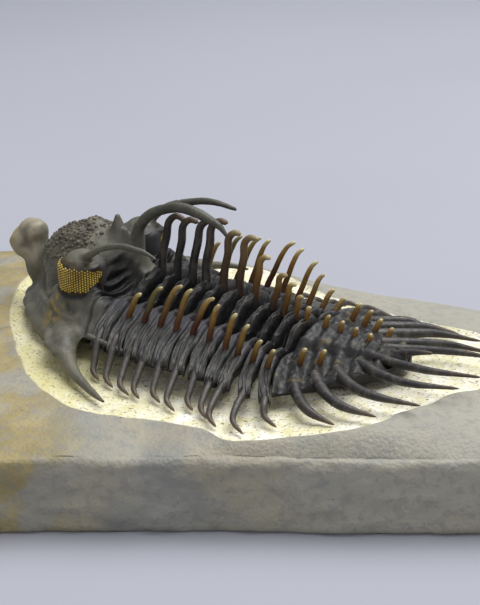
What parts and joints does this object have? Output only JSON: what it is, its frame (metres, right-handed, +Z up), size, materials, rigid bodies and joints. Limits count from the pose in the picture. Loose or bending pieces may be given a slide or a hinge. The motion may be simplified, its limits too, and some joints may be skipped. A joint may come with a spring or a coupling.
{
  "type": "comura trilobite fossil on matrix",
  "caption": "Spiny trilobite fossil with a long arched neck spine, two eye spines and rows of upright spines, prepared free on a flat-bottomed limestone slab with a cream trough around it.",
  "frame": {"origin": "middle of the slab's flat underside", "axes": "+X along the fossil's axis from head to tail, -X its head; -Y the side with the sawn stone edge turned towards a viewer; +Z up out of the stone"},
  "size_m": [0.0974, 0.0702, 0.0261],
  "materials": {
    "limestone": "matte, cream and granular in the trough, smooth grey-brown outside it",
    "fossil_shell": "dark calcite, satin, with amber spines"
  },
  "bodies": {
    "root": {"matrix": "limestone", "cephalon": "fossil_shell", "thorax_segment_01": "fossil_shell", "thorax_segment_02": "fossil_shell", "thorax_segment_03": "fossil_shell", "thorax_segment_04": "fossil_shell", "thorax_segment_05": "fossil_shell", "thorax_segment_06": "fossil_shell", "thorax_segment_07": "fossil_shell", "thorax_segment_08": "fossil_shell", "thorax_segment_09": "fossil_shell", "thorax_segment_10": "fossil_shell", "thorax_segment_11": "fossil_shell", "pygidium": "fossil_shell"}
  },
  "joints": []
}
